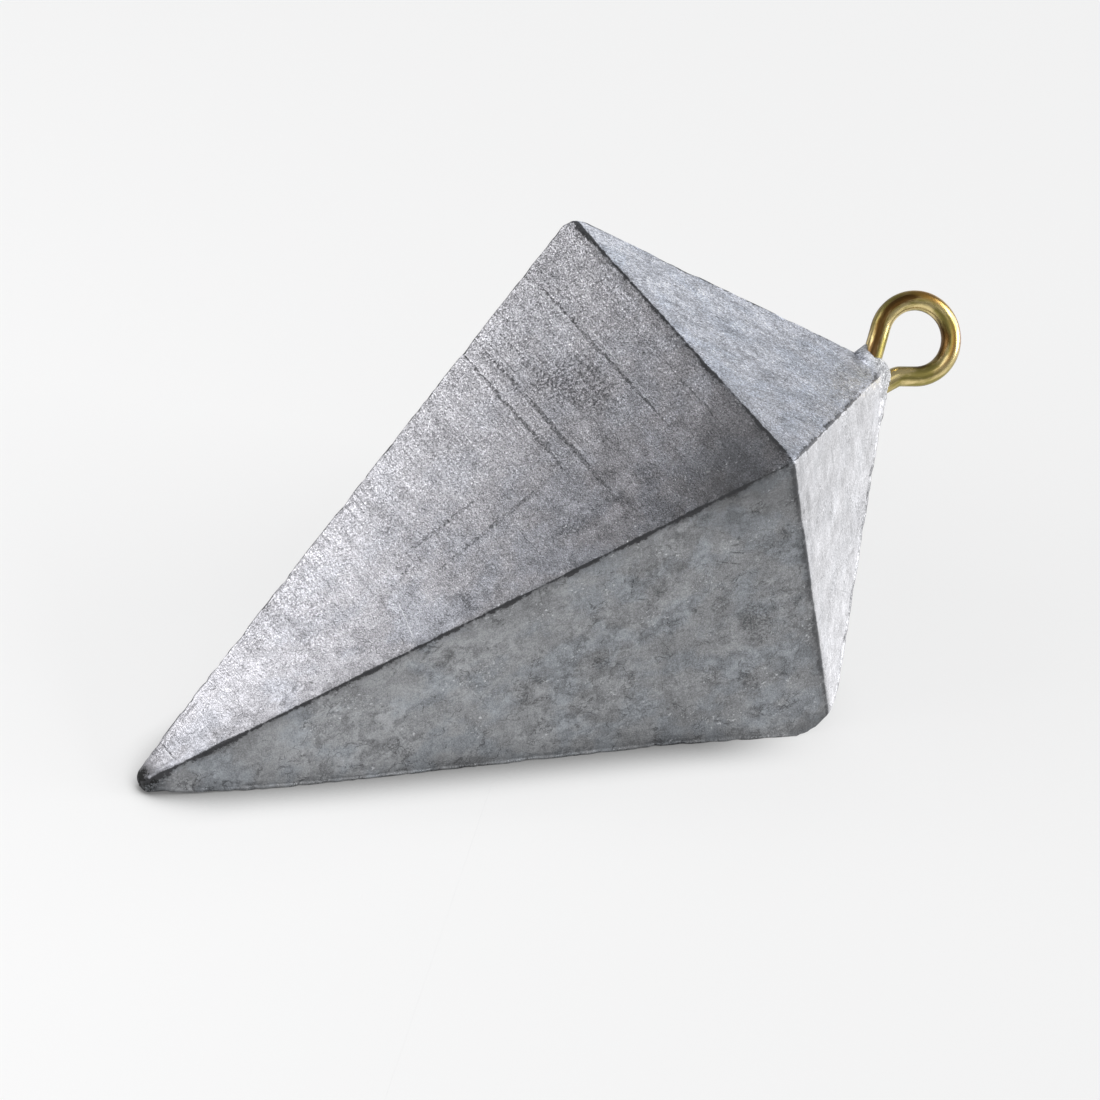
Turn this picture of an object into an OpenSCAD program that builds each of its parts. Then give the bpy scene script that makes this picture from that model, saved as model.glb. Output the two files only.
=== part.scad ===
// A pyramid fishing sinker: a four-sided lead casting with a long point, a short
// shoulder and a bent brass wire eye that is cast into the shoulder.
// Millimetres. It lies on one long face, with the point towards -X, the eye towards +X.

/* [Lead body] */
// Side of the square waist, measured as if its edges were sharp
waist_side = 30; // [24:0.5:36]
// Length from the waist to where the four long faces would meet
point_length = 51; // [42:0.5:62]
// Height from the waist to where the four short faces would meet
shoulder_height = 16.5; // [14:0.5:20]
// Length that the rounded nose takes off the long point
nose_cut = 2.4; // [1.6:0.1:3.2]
// Height that the small land under the eye takes off the short point
crown_cut = 0.3; // [0.2:0.05:0.5]
// Width of the flats along the eight sloping edges
edge_flat = 0.45; // [0.3:0.05:0.7]
// Radius round the waist, and on the two crisp corners of the waist
waist_r = 0.4; // [0.3:0.05:0.6]
// Radius of the upper corner that lies in the parting plane
upper_corner_r = 1.2; // [0.8:0.1:2]
// Radius of the lower corner that lies in the parting plane, which is worn more
lower_corner_r = 2.8; // [2:0.1:3.5]

/* [Wire eye] */
// Thickness of the wire
wire_d = 1.5; // [1.2:0.1:1.7]
// Width of the hole that the line is tied to
hole_d = 4.1; // [3.6:0.1:5]
// Height of the hole's middle above the sharp top of the lead
eye_rise = 2.85; // [2.6:0.05:3.5]
// Distance of the hole's middle from the axis, towards the upper corner
eye_shift = 0.9; // [0.6:0.05:1.1]
// Lean of the wire where it enters the lead on the upper corner's side
upper_lean = 45; // [38:1:50]
// Lean of the wire above the lead on the lower corner's side
lower_lean = 28; // [24:1:34]
// Distance of each leg from the axis inside the lead
leg_offset = 0.9; // [0.88:0.01:1]
// Centre line radius of the bends between the eye and the legs
bend_r = 1.6; // [1.2:0.1:1.8]
// Depth of the hooked feet below the sharp top of the lead
foot_depth = 12; // [10:0.5:13]
// Centre line radius of the bend into each foot
foot_bend_r = 1.8; // [1.5:0.1:2.2]
// Straight length of each foot past its bend
foot_length = 1.6; // [1:0.1:2]

/* [Lead collars] */
// Thickness of the lead that has crept up round each leg
collar_wall = 0.35; // [0.25:0.05:0.45]
// Depth of the upper collar's end below the sharp top of the lead
upper_collar_depth = 0.55; // [0.5:0.05:0.7]
// Depth of the lower collar's end below the sharp top of the lead
lower_collar_depth = 0.35; // [0.3:0.05:0.5]

/* [Hidden] */
$fn = 64;

// Half widths across the flats and across the corners of the waist
half_side = waist_side / 2;
half_diagonal = half_side * sqrt(2);
// Angle of a long face to the axis
face_angle = atan(half_side / point_length);
// Angle of a long edge to the axis, which is also the nose's angle across the corners
edge_angle = atan(half_diagonal / point_length);
// Distance that the flats take off each corner of a cross-section
corner_cut = edge_flat / 2;
// Straight steps in each round stretch of a profile
arc_steps = 6;
// Radii that bring the nose of every profile to the same end point
nose_face_r = nose_cut / (1 / sin(face_angle) - 1);
nose_edge_r = (nose_cut - corner_cut * point_length / half_diagonal) / (1 / sin(edge_angle) - 1);

// Centre line radius of the eye, and the height of its middle above the waist
eye_r = (hole_d + wire_d) / 2;
eye_z = shoulder_height + eye_rise;
foot_z = shoulder_height - foot_depth;
// How far the beads at the joints stand proud of the wire
bead_proud = 0.02;

// How far the eye and the nose reach from the waist once the sinker lies down
parting_reach = sqrt(pow(sin(face_angle), 2) / 2 + pow(cos(face_angle), 2));
eye_end = eye_z * cos(face_angle) - eye_shift * sin(face_angle) / sqrt(2)
    + eye_r * parting_reach + wire_d / 2;
nose_end = (point_length - nose_face_r / sin(face_angle)) * cos(face_angle) + nose_face_r;
rest_height = half_side * cos(face_angle);

// Points along an arc in a profile
function arc(x, z, r, from, to) =
    [for (i = [0 : arc_steps]) let (a = from + (to - from) * i / arc_steps)
        [x + r * cos(a), z + r * sin(a)]];

// The +X half of a profile, from the nose up to the crown. Its sides would meet the sharp
// waist at full_w, and cut moves both of them in without changing their slopes.
function half_outline(full_w, cut, corner_r, nose_r) =
    let (
        low_a = atan(full_w / point_length),
        high_a = atan(full_w / shoulder_height),
        spread = corner_r / cos((high_a + low_a) / 2),
        corner_x = full_w - cut - spread * cos((high_a - low_a) / 2),
        corner_z = -spread * sin((high_a - low_a) / 2),
        nose_z = nose_r / sin(low_a) - (full_w - cut) / tan(low_a),
        crown_x = crown_cut * tan(high_a) - cut
    )
    concat(
        arc(0, nose_z, nose_r, -90, -low_a),
        arc(corner_x, corner_z, corner_r, -low_a, high_a),
        [[crown_x, shoulder_height - crown_cut]]
    );

// Where the legs leave the eye, where they turn straight down, and where that bend ends
function leave_x(lean) = eye_r * cos(lean);
function leave_z(lean) = eye_z - eye_r * sin(lean);
function lean_run(lean, shift) = (shift + leave_x(lean) - leg_offset) / sin(lean);
function bend_z(lean, shift) =
    leave_z(lean) - lean_run(lean, shift) * cos(lean) - bend_r * tan(lean / 2);

// A profile drawn in the XZ plane and extruded along Y, wide enough to pass every corner
module kite_prism(full_w, cut, left_r, right_r, nose_r) {
    right = half_outline(full_w, cut, right_r, nose_r);
    left = half_outline(full_w, cut, left_r, nose_r);
    rotate([90, 0, 0])
        linear_extrude(height = 2 * waist_side, center = true)
            polygon(concat(right, [for (i = [len(left) - 1 : -1 : 0]) [-left[i].x, left[i].y]]));
}

// The four long and four short faces, with rounded waist, corners and nose
module pyramid() {
    intersection() {
        kite_prism(half_side, 0, waist_r, waist_r, nose_face_r);
        rotate([0, 0, 90])
            kite_prism(half_side, 0, waist_r, waist_r, nose_face_r);
        rotate([0, 0, 45])
            kite_prism(half_diagonal, corner_cut, waist_r, waist_r, nose_edge_r);
        rotate([0, 0, -45])
            kite_prism(half_diagonal, corner_cut, upper_corner_r, lower_corner_r, nose_edge_r);
    }
}

// A straight length of wire in the XZ plane. Its lean is measured from -Z towards -X.
module straight_wire(x, z, lean, length, d = wire_d) {
    translate([x, 0, z])
        rotate([0, 180 + lean, 0])
            cylinder(h = length, d = d);
}

// A bent length of wire in the XZ plane, from one angle to another round its middle
module bent_wire(x, z, r, from, to) {
    translate([x, 0, z])
        rotate([90, 0, 0])
            rotate([0, 0, from])
                rotate_extrude(angle = to - from)
                    translate([r, 0]) circle(d = wire_d);
}

// A bead a hair thicker than the wire, which closes the joint between two lengths of it
module bead(x, z) {
    translate([x, 0, z]) sphere(r = wire_d / 2 + bead_proud);
}

// One leg on the +X side: the leaning length, the bend, the straight leg and its hooked foot
module leg(lean, shift) {
    straight = lean_run(lean, shift) - bend_r * tan(lean / 2);
    turn_z = bend_z(lean, shift);
    bead(shift + leave_x(lean), leave_z(lean));
    straight_wire(shift + leave_x(lean), leave_z(lean), lean, straight);
    bead(leg_offset + bend_r * (1 - cos(lean)), turn_z + bend_r * sin(lean));
    bent_wire(leg_offset + bend_r, turn_z, bend_r, 180 - lean, 180);
    bead(leg_offset, turn_z);
    straight_wire(leg_offset, turn_z, 0, turn_z - foot_z - foot_bend_r);
    bead(leg_offset, foot_z + foot_bend_r);
    bent_wire(leg_offset + foot_bend_r, foot_z + foot_bend_r, foot_bend_r, 180, 270);
    bead(leg_offset + foot_bend_r, foot_z);
    straight_wire(leg_offset + foot_bend_r + foot_length, foot_z, 90, foot_length);
}

// The whole bent wire in the XZ plane, with the upper corner's side towards -X
module bent_eye() {
    bent_wire(-eye_shift, eye_z, eye_r, -lower_lean, 180 + upper_lean);
    leg(lower_lean, -eye_shift);
    mirror([1, 0, 0]) leg(upper_lean, eye_shift);
}

// Lead that has crept up round the two legs, before the wire's own space is taken out
module collars() {
    collar_d = wire_d + 2 * collar_wall;
    lower_top = shoulder_height - lower_collar_depth;
    upper_run = (leave_z(upper_lean) - shoulder_height + upper_collar_depth) / cos(upper_lean);
    upper_x = eye_shift + leave_x(upper_lean) - upper_run * sin(upper_lean);
    straight_wire(leg_offset, lower_top, 0, bend_r + collar_d, collar_d);
    mirror([1, 0, 0])
        straight_wire(upper_x, shoulder_height - upper_collar_depth, upper_lean, collar_d, collar_d);
}

// Turns the parting plane to the diagonal between the upper and the lower corner
module in_parting_plane() {
    rotate([0, 0, -45]) children();
}

// Lays the sinker down on one long face, with its bounding box centred on the origin
module lying() {
    translate([(nose_end - eye_end) / 2, 0, rest_height])
        rotate([0, 90 - face_angle, 0]) children();
}

module lead_body() {
    color("#84888b")
        lying()
            difference() {
                union() {
                    pyramid();
                    in_parting_plane() collars();
                }
                in_parting_plane() bent_eye();
            }
}

module wire_eye() {
    color("#b0964e")
        lying()
            in_parting_plane()
                bent_eye();
}

lead_body();
wire_eye();
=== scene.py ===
"""A pyramid fishing sinker that lies on one long face: a lead casting and its brass wire eye."""

import logging
from dataclasses import astuple, dataclass, field
from enum import Enum
from functools import reduce
from itertools import combinations
from math import atan, ceil, cos, exp, pi, radians, sin, sqrt, tan
from typing import Union

import bmesh
import bpy
import numpy as np
from bpy.types import Material, Mesh, Node, NodeSocket, NodeTree, Object, World
from mathutils import Matrix, Vector, noise


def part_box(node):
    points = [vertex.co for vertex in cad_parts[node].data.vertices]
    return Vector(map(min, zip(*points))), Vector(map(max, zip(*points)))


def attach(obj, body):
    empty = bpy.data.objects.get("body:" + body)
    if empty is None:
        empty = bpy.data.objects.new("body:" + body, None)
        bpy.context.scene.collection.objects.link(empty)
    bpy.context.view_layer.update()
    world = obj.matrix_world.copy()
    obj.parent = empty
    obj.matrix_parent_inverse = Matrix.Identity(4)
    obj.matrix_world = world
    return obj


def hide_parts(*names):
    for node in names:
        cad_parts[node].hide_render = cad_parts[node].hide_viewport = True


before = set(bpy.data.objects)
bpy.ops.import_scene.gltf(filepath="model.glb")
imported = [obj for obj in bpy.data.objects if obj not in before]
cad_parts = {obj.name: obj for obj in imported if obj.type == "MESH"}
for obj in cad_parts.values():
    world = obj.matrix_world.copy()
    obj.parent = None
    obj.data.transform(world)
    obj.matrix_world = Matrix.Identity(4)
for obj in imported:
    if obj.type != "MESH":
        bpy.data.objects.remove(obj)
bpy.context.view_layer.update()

BODY = "root"
LEAD_NODE = "lead_body"
EYE_NODE = "wire_eye"
MM = 0.001
MM_PER_METRE = 1000
log = logging.getLogger("sinker")

Feed = Union[float, tuple, "Flow"]


@dataclass(frozen=True)
class Flow:
    """A value on its way through a node tree, on which arithmetic adds nodes."""

    recipe: "Recipe"
    socket: NodeSocket

    def __add__(self, other: Feed) -> "Flow":
        """Adds a number, vector or flow."""
        return self.recipe.join("ADD", self, other)

    def __sub__(self, other: Feed) -> "Flow":
        """Takes a number, vector or flow away."""
        return self.recipe.join("SUBTRACT", self, other)

    def __rsub__(self, other: Feed) -> "Flow":
        """Takes this flow away from a number or vector."""
        return self.recipe.join("SUBTRACT", other, self)

    def __mul__(self, other: Feed) -> "Flow":
        """Multiplies by a number, vector or flow."""
        return self.recipe.join("MULTIPLY", self, other)

    def __truediv__(self, other: Feed) -> "Flow":
        """Divides by a number, vector or flow."""
        return self.recipe.join("DIVIDE", self, other)

    __radd__ = __add__
    __rmul__ = __mul__


@dataclass
class Recipe:
    """Writes formulas as nodes in one shader or geometry tree."""

    tree: NodeTree

    def node(self, kind: str, feeds: dict | None = None, **settings: object) -> Node:
        """Adds a node.

        Args:
            kind: The node's type name.
            feeds: What goes into its sockets, by name or number.
            settings: The node's own properties.

        Returns:
            The new node.
        """
        node = self.tree.nodes.new(kind)
        for name, value in settings.items():
            setattr(node, name, value)
        for key, value in (feeds or {}).items():
            self.feed(node.inputs[key], value)
        return node

    def feed(self, socket: NodeSocket, value: Feed) -> None:
        """Links a flow to a socket, or writes a plain value on it.

        Args:
            socket: The socket that takes the value.
            value: A flow, number, vector, colour, text or data block.
        """
        if isinstance(value, Flow):
            self.tree.links.new(value.socket, socket)
        else:
            socket.default_value = value

    def flow(self, kind: str, feeds: dict | None = None, out: str | int = 0, **settings: object) -> Flow:
        """Adds a node and returns one of its outputs, by name or number."""
        return Flow(self, self.node(kind, feeds, **settings).outputs[out])

    def join(self, operation: str, first: Feed, second: Feed) -> Flow:
        """Adds the sum, difference, product or quotient of two values.

        Args:
            operation: The operation's name, which scalar and vector nodes share.
            first: The value on the left.
            second: The value on the right.

        Returns:
            A vector flow if either value is a vector, and otherwise a number.
        """
        wide = [self.is_vector(first), self.is_vector(second)]
        if operation == "MULTIPLY" and wide == [True, False]:
            return self.flow("ShaderNodeVectorMath", {0: first, "Scale": second}, operation="SCALE")
        if operation == "MULTIPLY" and wide == [False, True]:
            return self.flow("ShaderNodeVectorMath", {0: second, "Scale": first}, operation="SCALE")
        kind = "ShaderNodeVectorMath" if any(wide) else "ShaderNodeMath"
        return self.flow(kind, {0: first, 1: second}, operation=operation)

    def is_vector(self, value: Feed) -> bool:
        """Tells whether a value has three parts."""
        kind = value.socket.type if isinstance(value, Flow) else None
        return kind in ("VECTOR", "RGBA") or isinstance(value, (tuple, Vector))

    def math(self, operation: str, *values: Feed, clamp: bool = False) -> Flow:
        """Adds a Math node for one to three values, whose result may be clamped from 0 to 1."""
        feeds = dict(enumerate(values))
        return self.flow("ShaderNodeMath", feeds, operation=operation, use_clamp=clamp)

    def largest(self, *values: Feed) -> Flow:
        """Gives the largest of two or more numbers."""
        return reduce(lambda most, value: self.math("MAXIMUM", most, value), values)

    def vector(self, x: Feed, y: Feed, z: Feed) -> Flow:
        """Puts three numbers together as a vector."""
        return self.flow("ShaderNodeCombineXYZ", {0: x, 1: y, 2: z})

    def parts(self, value: Flow) -> tuple[Flow, Flow, Flow]:
        """Takes a vector apart."""
        node = self.node("ShaderNodeSeparateXYZ", {0: value})
        return tuple(Flow(self, out) for out in node.outputs)

    def turned(self, value: Flow, angle: Feed, middle: tuple = (0.0, 0.0, 0.0)) -> Flow:
        """Turns a vector round an upright line through a middle."""
        feeds = {"Vector": value, "Center": middle, "Angle": angle}
        return self.flow("ShaderNodeVectorRotate", feeds, rotation_type="Z_AXIS")

    def ramp(self, value: Feed, low: float, high: float, to_low: float = 0.0, to_high: float = 1.0) -> Flow:
        """Maps the range from low to high smoothly onto another, and holds its ends."""
        feeds = {"Value": value, 1: low, 2: high, 3: to_low, 4: to_high}
        return self.flow("ShaderNodeMapRange", feeds, interpolation_type="SMOOTHSTEP")

    def noise(self, place: Flow, grain: float, detail: float = 2.0, rough: float = 0.5) -> Flow:
        """Gives smooth noise from about 0.2 to 0.8, whose largest grains are of the size given."""
        feeds = {"Vector": place, "Scale": 1 / grain, "Detail": detail, "Roughness": rough}
        return self.flow("ShaderNodeTexNoise", feeds)

    def bent(self, place: Flow, grain: float, detail: float, by: float) -> Flow:
        """Moves places about by noise that has its own value in each direction."""
        feeds = {"Vector": place, "Scale": 1 / grain, "Detail": detail}
        return place + self.flow("ShaderNodeTexNoise", feeds, "Color") * by

    def blend(self, share: Feed, first: Feed, second: Feed) -> Flow:
        """Mixes two colours by a share of the second."""
        return self.flow("ShaderNodeMix", {0: share, 6: first, 7: second}, 2, data_type="RGBA")

    def attribute(self, name: str) -> Flow:
        """Reads a mesh's vector attribute in a material."""
        return self.flow("ShaderNodeAttribute", out="Vector", attribute_name=name)

    def store(self, shape: Flow, name: str, value: Flow, kind: str = "FLOAT") -> Flow:
        """Writes a value on each point of a shape as a named attribute."""
        feeds = {"Geometry": shape, "Name": name, "Value": value}
        return self.flow("GeometryNodeStoreNamedAttribute", feeds, data_type=kind, domain="POINT")


def blank_recipe(owner: Material | World) -> Recipe:
    """Empties the node tree of a material or a world.

    Args:
        owner: The material or the world.

    Returns:
        The recipe that writes its new nodes.
    """
    owner.use_nodes = True
    owner.node_tree.nodes.clear()
    return Recipe(owner.node_tree)


def read_rows(data: bpy.types.bpy_prop_collection, key: str) -> np.ndarray:
    """Reads a vector from each point of a mesh or an attribute.

    Args:
        data: The points, or the attribute's data.
        key: The name of the vector's property.

    Returns:
        The vectors, a row for each point.
    """
    values = np.empty(len(data) * 3, np.float32)
    data.foreach_get(key, values)
    return values.reshape(-1, 3)


def move_points(mesh: Mesh, places: np.ndarray) -> None:
    """Puts a mesh's points in new places."""
    mesh.vertices.foreach_set("co", places.astype(np.float32).ravel())


def write_attribute(mesh: Mesh, name: str, values: np.ndarray) -> None:
    """Writes a new vector attribute, a row for each point."""
    data = mesh.attributes.new(name, "FLOAT_VECTOR", "POINT").data
    data.foreach_set("vector", values.astype(np.float32).ravel())


class Face(Enum):
    """The eight faces: where each one points, and whether it is on the long point."""

    UNDER_POINT = (1, 0, True)
    BACK_POINT = (0, 1, True)
    TOP_POINT = (-1, 0, True)
    FRONT_POINT = (0, -1, True)
    UNDER_SHOULDER = (1, 0, False)
    BACK_SHOULDER = (0, 1, False)
    TOP_SHOULDER = (-1, 0, False)
    FRONT_SHOULDER = (0, -1, False)


@dataclass(frozen=True)
class Pyramid:
    """The sharp double pyramid, standing on its point with its waist at height 0.

    Its +X side is the one that it lies on. The mould parts in the plane through the axis,
    the upper waist corner (-X, +Y) and the lower one (+X, -Y).
    """

    waist_side: float = 30 * MM
    point_length: float = 51 * MM
    shoulder_height: float = 16.5 * MM
    nose_cut: float = 2.4 * MM
    waist_r: float = 0.4 * MM
    edge_cut: float = 0.225 * MM

    @property
    def half_side(self) -> float:
        """Half the waist's side."""
        return self.waist_side / 2

    @property
    def point_angle(self) -> float:
        """Angle of a long face to the axis."""
        return atan(self.half_side / self.point_length)

    @property
    def shoulder_angle(self) -> float:
        """Angle of a short face to the axis."""
        return atan(self.half_side / self.shoulder_height)

    @property
    def nose_r(self) -> float:
        """Radius of the rounded nose."""
        return self.nose_cut / (1 / sin(self.point_angle) - 1)

    @property
    def parting(self) -> Vector:
        """Direction across the axis to the lower corner, in the parting plane."""
        return Vector((1, -1, 0)).normalized()

    @property
    def forward(self) -> np.ndarray:
        """Direction square to the parting plane, towards the front of the lying sinker."""
        return np.array((-1, -1, 0)) / sqrt(2)

    def lying(self) -> Matrix:
        """Gives the turn and the move that lay the sinker where the CAD has it.

        Returns:
            The matrix from the standing pyramid to the shared frame.
        """
        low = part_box(LEAD_NODE)[0]
        nose = (self.point_length - self.nose_r / sin(self.point_angle)) * cos(self.point_angle)
        rest_height = self.half_side * cos(self.point_angle)
        place = Vector((low[0] + nose + self.nose_r, 0, low[2] + rest_height))
        return Matrix.Translation(place) @ Matrix.Rotation(pi / 2 - self.point_angle, 4, "Y")

    def plane(self, face: Face) -> tuple[Vector, float]:
        """Finds a face's plane.

        Args:
            face: The face.

        Returns:
            Its outward normal and its distance from the waist's middle.
        """
        x, y, on_point = face.value
        lean = -self.point_angle if on_point else self.shoulder_angle
        normal = Vector((x * cos(lean), y * cos(lean), sin(lean)))
        return normal, self.half_side * cos(lean)

    def corner(self, half_width: float, radius: float) -> tuple[float, float]:
        """Finds the circle that rounds a corner of a profile.

        Args:
            half_width: Half of the profile's width if its corner were sharp.
            radius: The circle's radius.

        Returns:
            The middle's distance from the axis and its height.
        """
        low = atan(half_width / self.point_length)
        high = atan(half_width / self.shoulder_height)
        spread = radius / cos((high + low) / 2)
        return half_width - spread * cos((high - low) / 2), -spread * sin((high - low) / 2)


@dataclass(frozen=True)
class FaceLook:
    """How one face of the casting came out of the mould and wore since.

    Its grain is the direction of its streaks. Its tone, set face by face, is partly the face's own
    oxide and partly painted light and shade. The tone grows lighter to the tip and to the side by a
    factor of e for each 1, which is painted light and shade and partly darker oxide, and its worn
    side is the one that is brushed most.
    """

    tone: tuple[float, float, float]
    grain: tuple[float, float, float]
    sparkle: float
    brushed: float
    patina: float = 0.2
    oxide_and_shade_to_tip: float = 0.0
    oxide_and_shade_to_side: float = 0.0
    worn_side: float = 0.0


@dataclass(frozen=True)
class Ridge:
    """An edge between two faces: the dark in its line, partly dirt and partly painted dark reflection
    on the rounded edge, and the line's width on each face in mm.

    Grime lies beside the line on each face, and on some edges it is painted shade.
    """

    first: Face
    second: Face
    dirt_and_dark_reflection: float = 0.6
    first_width: float = 0.15
    second_width: float = 0.15
    on_first: float = 0.1
    on_second: float = 0.1


@dataclass(frozen=True)
class Spot:
    """A round stain on the standing casting, in mm, or a painted highlight if it is negative; some stains
    also paint shade.
    """

    place: tuple[float, float, float]
    radius: float
    strength: float


@dataclass(frozen=True)
class Mark:
    """A scratch or a stain on one face, in mm.

    Its middle is given across the waist and down from the waist, its tilt in degrees from the
    streaks' direction, and its strength is negative where it shines instead of darkening.
    """

    side: float
    down: float
    length: float
    width: float
    tilt: float
    strength: float
    soft: float = 0.5


@dataclass(frozen=True)
class LeadFinish:
    """Dull cast lead: sandy and sparkling where it is bare, cloudy where it is oxidised."""

    pyramid: Pyramid = Pyramid()
    name: str = "cast_lead"
    oxide: tuple = (0.035, 0.035, 0.038, 1.0)
    bare: tuple = (0.80, 0.81, 0.84, 1.0)
    crown: tuple = (0.53, 0.535, 0.55)
    looks: dict = field(default_factory=lambda: {
        # Each face's tone is partly its own oxide and partly painted light and shade, set face by face.
        Face.TOP_POINT: FaceLook((0.299, 0.295, 0.313), (0, 1, 0), 1.18, 0.8, 0.6, 0.43, 0.72, 0.8),
        Face.FRONT_POINT: FaceLook((0.294, 0.300, 0.310), (1, 0, 0), 0.24, 0.3, 1.12, 0.2),
        Face.TOP_SHOULDER: FaceLook((0.617, 0.638, 0.709), (15, -15, 16.5), 0.8, 0.55, 0.8, 0.58, 0.26),
        Face.FRONT_SHOULDER: FaceLook((0.58, 0.58, 0.60), (1, 0, 0), 0.25, 0.5, 0.15, 0.0, 0.19),
        Face.UNDER_POINT: FaceLook((0.28, 0.285, 0.29), (0, 1, 0), 0.4, 0.5, 0.6),
        Face.BACK_POINT: FaceLook((0.34, 0.345, 0.355), (1, 0, 0), 0.7, 0.5, 0.4),
        Face.UNDER_SHOULDER: FaceLook((0.34, 0.35, 0.36), (0, 1, 0.3), 0.4, 0.6, 0.4),
        Face.BACK_SHOULDER: FaceLook((0.42, 0.43, 0.45), (1, 0, 0.2), 0.5, 0.6, 0.3),
    })
    ridges: tuple[Ridge, ...] = (
        Ridge(Face.TOP_POINT, Face.FRONT_POINT, 0.95, 0.09, 0.24, 0.20, 0.50),
        Ridge(Face.TOP_POINT, Face.TOP_SHOULDER, 0.95, 0.17, 0.09, 0.45, 0.05),
        Ridge(Face.TOP_SHOULDER, Face.FRONT_SHOULDER, 0.85, 0.19, 0.08, 0.28, 0.0),
        Ridge(Face.TOP_POINT, Face.BACK_POINT, 0.85, 0.07, 0.15, 0.0, 0.2),
        Ridge(Face.FRONT_POINT, Face.FRONT_SHOULDER, 0.60, 0.26, 0.03, 0.55, 0.0),
        Ridge(Face.FRONT_POINT, Face.UNDER_POINT, 0.75, 0.10, 0.15, 0.15, 0.3),
        # Painted shade on this edge's rounding, where the key lamp gives a glint.
        Ridge(Face.FRONT_SHOULDER, Face.UNDER_SHOULDER, 0.50, 0.27, 0.30, 0.12, 1.3),
        Ridge(Face.TOP_SHOULDER, Face.BACK_SHOULDER, 0.85, 0.17, 0.20, 0.15, 0.2),
    )
    spots: tuple[Spot, ...] = (
        Spot((-0.1, -0.1, -48.9), 2.7, 0.85),
        # A painted highlight on the nose.
        Spot((-0.95, -0.72, -47.9), 0.40, -2.4),
        Spot((-13.2, 12.0, -4.0), 6.0, 0.11),
        # A painted highlight at a waist corner.
        Spot((-14.7, -14.7, 0.25), 0.7, -0.35),
        # Painted shade by the same waist corner, partly darker oxide.
        Spot((-12.8, -11.8, -3.4), 5.2, 0.38),
        Spot((14.0, -14.4, -1.5), 2.6, 0.25),
    )
    marks: dict = field(default_factory=lambda: {
        Face.TOP_POINT: (
            Mark(3.0, 4.85, 20, 0.34, 0.3, 0.50),
            Mark(3.0, 4.45, 13, 0.10, 0.3, -0.35),
            Mark(9.8, 5.2, 7, 0.12, 1.0, -0.45),
            Mark(0.5, 10.85, 24, 0.42, 0.0, 0.46),
            Mark(4.3, 12.2, 17, 0.34, 0.0, 0.48),
            Mark(7.0, 9.2, 9, 0.30, 0.5, 0.28),
            Mark(-1.0, 2.0, 20, 0.16, 0.2, 0.30),
            Mark(-7.6, 8.3, 4.5, 2.6, 35, 0.20, 1.0),
            Mark(-7.0, 14.6, 4.4, 3.0, 60, 0.22, 1.0),
            Mark(-6.2, 23.3, 3.6, 1.8, 10, 0.22, 1.0),
            Mark(6.5, 15.8, 7, 0.10, -1.0, -0.35),
            Mark(-5.6, 17.4, 6, 0.07, 1.5, 0.55),
            Mark(-2.5, 18.5, 14, 0.55, 90, 0.20),
            Mark(0.4, 21.6, 9, 0.50, 88, 0.22),
            Mark(-0.8, 25.1, 1.8, 0.14, 80, 0.50),
            Mark(-4.1, 27.4, 5.5, 0.07, -14, -0.60),
            Mark(0.2, 45.8, 2.6, 0.10, 2, 0.50),
            Mark(2.6, 7.5, 13, 8.0, 30, 0.17, 1.0),
            Mark(-0.1, 45.9, 2.2, 0.08, 4, -0.70),
        ),
        Face.FRONT_POINT: (
            Mark(-6.8, 12.5, 3.4, 0.10, -12, 0.65),
            Mark(-6.2, 5.6, 2.6, 0.18, 60, 0.35),
            Mark(1.0, 4.4, 8, 4.0, 10, 0.21, 1.0),
            Mark(0.5, 15.6, 4.2, 3.2, 30, 0.17, 1.0),
            Mark(0.8, 21.5, 7, 1.6, 5, 0.15, 1.0),
            Mark(7.0, 5.4, 6.5, 2.6, 15, 0.17, 1.0),
            Mark(-7.0, 4.8, 1.5, 0.22, 62, 0.40),
            Mark(-7.9, 4.9, 1.2, 0.18, 80, 0.35),
        ),
    })
    crown_skin: tuple = (0.0, 0.5, 0.9)
    crown_start: float = 1.9 * MM
    calm_tip: float = 0.75
    # Shares of the point's length: where the painted light and shade in the tone starts to change, and over
    # how much it does
    light_start: float = 0.2
    light_run: float = 0.45
    edge_width: float = 0.06 * MM
    grime_width: float = 0.5 * MM
    broad_tip: float = 0.4
    broad_run: float = 10 * MM
    # How many runs below the shoulder the lines start to grow broader
    broad_start: float = 3.6
    # In line widths: how far off an edge counts as far, and what a point on other faces adds
    no_line: float = 8.0
    off_faces: float = 20.0
    face_gap: float = 37 * MM
    darkest: float = 0.12
    # In line widths: how far small and large noise shift the lines
    broken_line: float = 5.0
    patchy_line: float = 4.5
    metal: float = 0.75
    roughness: float = 0.48
    roughness_swing: float = 0.3
    facet_tilt: float = 0.26
    bump_strength: float = 0.7
    bump_depth: float = 0.06 * MM

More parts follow.
